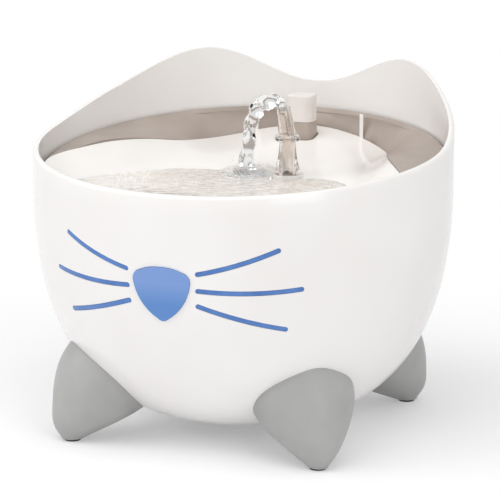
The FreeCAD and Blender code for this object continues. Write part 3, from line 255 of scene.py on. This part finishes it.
def makePool():
    spokes, rings = pool["spokes"], pool["rings"]
    midX, midY = pool["centre"]
    floor = dishHeight(midX, midY)
    top, bottom = [(midX, midY, waterHeight(midX, midY, floor))], [(midX, midY, floor + 0.15)]
    for spoke in range(spokes):
        turn = 2 * math.pi * spoke / spokes
        reach = 6
        while reach < 112:
            x, y = midX + reach * math.cos(turn), midY + reach * math.sin(turn)
            floor = dishHeight(x, y)
            if waterHeight(x, y, floor) - floor < 0.06:
                break
            reach += 0.5
        for ring in range(1, rings + 1):
            x = midX + reach * ring / rings * math.cos(turn)
            y = midY + reach * ring / rings * math.sin(turn)
            floor = dishHeight(x, y)
            surface = waterHeight(x, y, floor)
            if ring == rings:
                surface = floor + 0.03
            top.append((x, y, surface))
            bottom.append((x, y, min(floor + 0.15, surface - 0.01)))
    faces = []
    shift = len(top)
    for spoke in range(spokes):
        here, following = spoke * rings, (spoke + 1) % spokes * rings
        faces.append((0, here + 1, following + 1))
        faces.append((shift, shift + following + 1, shift + here + 1))
        for ring in range(1, rings):
            faces.append((here + ring, here + ring + 1, following + ring + 1, following + ring))
            faces.append((shift + here + ring, shift + following + ring,
                          shift + following + ring + 1, shift + here + ring + 1))
        faces.append((here + rings, shift + here + rings, shift + following + rings, following + rings))
    return newPiece("poolWater", top + bottom, faces, rippledWaterPaintedReflections, "tray")


makePool()
print("pool made")

# The stream: x, z and radius of its stations, in the upright plane through the spout
stream = {"y": 18, "sides": 32, "steps": 10, "waviness": 0.16, "pinch": 0.1,
          "stations": [(17.7, 179.8, 2.0), (17.0, 183.2, 2.3), (14.8, 185.2, 3.3), (10.6, 185.6, 4.0),
                       (6.0, 184.3, 4.3), (2.0, 181.2, 4.2), (-0.9, 176.2, 3.9), (-2.9, 169, 3.6),
                       (-4.2, 160, 3.5), (-5.0, 151.5, 3.9), (-5.2, 145, 5.0)]}


def throughStations(stations, steps):
    # A smooth line that passes through every station
    line = []
    for index in range(len(stations) - 1):
        before, start = stations[max(index - 1, 0)], stations[index]
        end, after = stations[index + 1], stations[min(index + 2, len(stations) - 1)]
        for step in range(steps):
            part = step / steps
            line.append(tuple(
                0.5 * (2 * b + (c - a) * part + (2 * a - 5 * b + 4 * c - d) * part ** 2
                       + (3 * b - a - 3 * c + d) * part ** 3)
                for a, b, c, d in zip(before, start, end, after)))
    return line + [stations[-1]]


def makeStream():
    line = throughStations(stream["stations"], stream["steps"])
    sides = stream["sides"]
    corners, faces = [], []
    for index, (x, z, radius) in enumerate(line):
        ahead, behind = line[min(index + 1, len(line) - 1)], line[max(index - 1, 0)]
        along = Vector((ahead[0] - behind[0], 0, ahead[1] - behind[1])).normalized()
        across = Vector((along.z, 0, -along.x))
        for side in range(sides):
            turn = 2 * math.pi * side / sides
            wide = radius * (1 + stream["waviness"] * math.sin(3 * turn + index * 0.31) * min(1, index / 20)
                             + stream["pinch"] * math.sin(index * 0.5) * min(1, index / 20))
            corners.append(Vector((x, stream["y"], z)) + across * wide * math.cos(turn)
                           + Vector((0, 1, 0)) * wide * math.sin(turn))
    for index in range(len(line) - 1):
        for side in range(sides):
            first, second = index * sides + side, index * sides + (side + 1) % sides
            faces.append((first, second, second + sides, first + sides))
    faces.append(tuple(reversed(range(sides))))
    faces.append(tuple(range((len(line) - 1) * sides, len(line) * sides)))
    return newPiece("waterStream", corners, faces, water, "spout")


makeStream()

# Bubbles where the stream meets the film
bubbles = {"count": 64, "nearest": 4.2, "spacing": 0.17, "smallest": 0.4, "spread": 1.1, "leap": 9}


def makeBubbles():
    shape = bmesh.new()
    for number in range(bubbles["count"]):
        turn = 2.4 * number  # the golden angle, so that no two line up
        away = bubbles["nearest"] + bubbles["spacing"] * number
        x = pool["landing"][0] + away * math.cos(turn)
        y = pool["landing"][1] + away * math.sin(turn) * 0.8
        radius = bubbles["smallest"] + bubbles["spread"] * (number * 7 % 5) / 5
        floor = dishHeight(x, y)
        height = waterHeight(x, y, floor) + radius * 0.3
        if number % 5 == 0:  # every fifth one is a drop in the air
            height += bubbles["leap"] * (number * 3 % 7 + 1) / 7
        made = bmesh.ops.create_icosphere(shape, subdivisions=2, radius=radius * mm)
        bmesh.ops.translate(shape, verts=made["verts"], vec=Vector((x, y, height)) * mm)
    mesh = bpy.data.meshes.new("splashBubbles")
    shape.to_mesh(mesh)
    shape.free()
    mesh.polygons.foreach_set("use_smooth", [True] * len(mesh.polygons))
    mesh.materials.append(water)
    piece = bpy.data.objects.new("splashBubbles", mesh)
    scene.collection.objects.link(piece)
    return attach(piece, "tray")


makeBubbles()
print("stream and bubbles made")

# Soft pieces in place of the plain ones: pores and fibre tufts are cut into the block's own form
softPieces = {"porousFoam": {"node": "foam_prefilter", "material": foam, "body": "pot",
                             "voxel": 0.55, "grain": 1.1, "depth": 0.5},
              "needledPad": {"node": "filter_pad", "material": felt, "body": "tray",
                             "voxel": 0.6, "grain": 0.7, "depth": 0.35}}


def makeSoftPiece(name, soft):
    mesh = nodes[soft["node"]].data.copy()
    mesh.materials.clear()
    mesh.materials.append(soft["material"])
    piece = bpy.data.objects.new(name, mesh)
    scene.collection.objects.link(piece)
    weld = piece.modifiers.new("joinFacets", "WELD")
    weld.merge_threshold = 0.002 * mm
    cells = piece.modifiers.new("evenCells", "REMESH")
    cells.mode, cells.voxel_size, cells.use_smooth_shade = "VOXEL", soft["voxel"] * mm, True
    pores = bpy.data.textures.new(name + "Pores", "CLOUDS")
    pores.noise_scale, pores.noise_depth = soft["grain"] * mm, 1
    sunk = piece.modifiers.new("sunkPores", "DISPLACE")
    sunk.texture, sunk.texture_coords, sunk.mid_level, sunk.strength = pores, "LOCAL", 1, soft["depth"] * mm
    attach(piece, soft["body"])
    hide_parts(soft["node"])


for name, soft in softPieces.items():
    makeSoftPiece(name, soft)
print("foam and felt made")

# Leads under the tray, pump to inlet and lamp to inlet: their routes, with lengths along the middle
leads = {"pumpLead": {"node": "pump_lead", "length": 88, "radius": 1.6,
                      "route": [(-21, 42, 30), (-35, 42, 30), (-46, 53, 35), (-46, 68, 42), (-37, 79, 48),
                                (-24, 82.8, 52), (-10, 82.8, 52)]},
         "lampLead": {"node": "lamp_lead", "length": 262, "radius": 1.6,
                      "route": [(6.01, -101, 77.4), (6.01, -101, 62.4), (13, -93, 48), (28, -81, 38),
                                (47, -65, 32), (62, -44, 30), (70, -19, 30), (69, 8, 32), (61, 33, 37),
                                (51, 53, 42), (38, 69, 46.5), (24.5, 82.8, 52), (10, 82.8, 52)]}}


def makeLead(name, lead):
    curve = bpy.data.curves.new(name, "CURVE")
    curve.dimensions = "3D"
    curve.bevel_depth, curve.bevel_resolution, curve.resolution_u = lead["radius"] * mm, 6, 12
    curve.use_fill_caps = True
    curve.materials.append(leadJacket)
    line = curve.splines.new("NURBS")
    line.points.add(len(lead["route"]) - 1)
    for point, place in zip(line.points, lead["route"]):
        point.co = (*(Vector(place) * mm), 1)
    line.order_u, line.use_endpoint_u = 3, True
    piece = bpy.data.objects.new(name, curve)
    scene.collection.objects.link(piece)
    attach(piece, "pot")
    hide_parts(lead["node"])


for name, lead in leads.items():
    makeLead(name, lead)
print("leads made")

# Studio: a pale floor that turns plain white away from the object, a soft sky and three soft boxes
studio = {"floorRadius": 4, "shadowWithin": 0.16, "whiteBeyond": 0.38, "leastWhite": 0.3,
          "floorColour": "#FDFDFF", "sky": 0.51}
softBoxes = {"keyLeft": {"place": (-1.3, -0.8, 1.1), "size": 1.1, "watts": 8.6},
             "fillRight": {"place": (1.3, -1.1, 0.8), "size": 0.9, "watts": 5.2},
             "topSoft": {"place": (0.1, -0.5, 1.6), "size": 1.3, "watts": 11}}


# 1 for rays that look at the scene, 0 for rays that light it
def lookingRays(tree):
    ray = addNode(tree, "LightPath", {})
    seen = addNode(tree, "Math", {0: ray.outputs["Is Camera Ray"], 1: ray.outputs["Is Glossy Ray"]},
                   operation="ADD", use_clamp=True)
    return addNode(tree, "Math", {0: seen.outputs["Value"], 1: ray.outputs["Is Transmission Ray"]},
                   operation="ADD", use_clamp=True).outputs["Value"]


def makeFloor():
    shape = bmesh.new()
    bmesh.ops.create_circle(shape, cap_ends=True, segments=96, radius=studio["floorRadius"])
    mesh = bpy.data.meshes.new("studioFloor")
    shape.to_mesh(mesh)
    shape.free()
    material = bpy.data.materials.new("paleFloor")
    material.use_nodes = True
    tree = material.node_tree
    tree.nodes.clear()
    place = addNode(tree, "TexCoord", {})
    away = addNode(tree, "VectorMath", {0: place.outputs["Object"]}, operation="LENGTH")
    plain = addNode(tree, "MapRange", {"Value": away.outputs["Value"], "From Min": studio["shadowWithin"],
                                       "From Max": studio["whiteBeyond"],
                                       "To Min": studio["leastWhite"]}, interpolation_type="SMOOTHSTEP")
    share = addNode(tree, "Math", {0: plain.outputs["Result"], 1: lookingRays(tree)}, operation="MULTIPLY")
    paint = addNode(tree, "BsdfDiffuse", {"Color": linear(studio["floorColour"])})
    white = addNode(tree, "Emission", {"Color": linear("#FFFFFF"), "Strength": 1.0})
    both = addNode(tree, "MixShader", {0: share.outputs["Value"], 1: paint.outputs["BSDF"],
                                       2: white.outputs["Emission"]})
    addNode(tree, "OutputMaterial", {"Surface": both.outputs["Shader"]})
    mesh.materials.append(material)
    floor = bpy.data.objects.new("studioFloor", mesh)
    scene.collection.objects.link(floor)


def makeSky():
    world = bpy.data.worlds.new("softSky")
    scene.world = world
    world.use_nodes = True
    tree = world.node_tree
    tree.nodes.clear()
    sky = addNode(tree, "Background", {"Color": linear("#FFFFFF"), "Strength": studio["sky"]})
    white = addNode(tree, "Background", {"Color": linear("#FFFFFF"), "Strength": 1.0})
    both = addNode(tree, "MixShader", {0: lookingRays(tree), 1: sky.outputs["Background"],
                                       2: white.outputs["Background"]})
    addNode(tree, "OutputWorld", {"Surface": both.outputs["Shader"]})


def aimed(thing, place, aim):
    thing.location = place
    thing.rotation_mode = "QUATERNION"
    thing.rotation_quaternion = (Vector(aim) - Vector(place)).to_track_quat("-Z", "Y")
    scene.collection.objects.link(thing)


makeFloor()
makeSky()
for name, box in softBoxes.items():
    lamp = bpy.data.lights.new(name, "AREA")
    lamp.shape, lamp.size, lamp.energy = "SQUARE", box["size"], box["watts"]
    aimed(bpy.data.objects.new(name, lamp), box["place"], (0, 0, 0.1))
print("studio made")

# The photograph's camera: 22 degrees round to the right, 13 degrees up, far off with a long lens
photoCamera = {"place": (0.6252, -1.5387, 0.4823), "aim": (0, 0, 0.1), "lens": 213.3, "shift": (0.0133, 0.0038)}
lens = bpy.data.cameras.new("photoCamera")
lens.sensor_width = 36
lens.lens = photoCamera["lens"]
lens.shift_x, lens.shift_y = photoCamera["shift"]
camera = bpy.data.objects.new("photoCamera", lens)
aimed(camera, photoCamera["place"], photoCamera["aim"])
scene.camera = camera
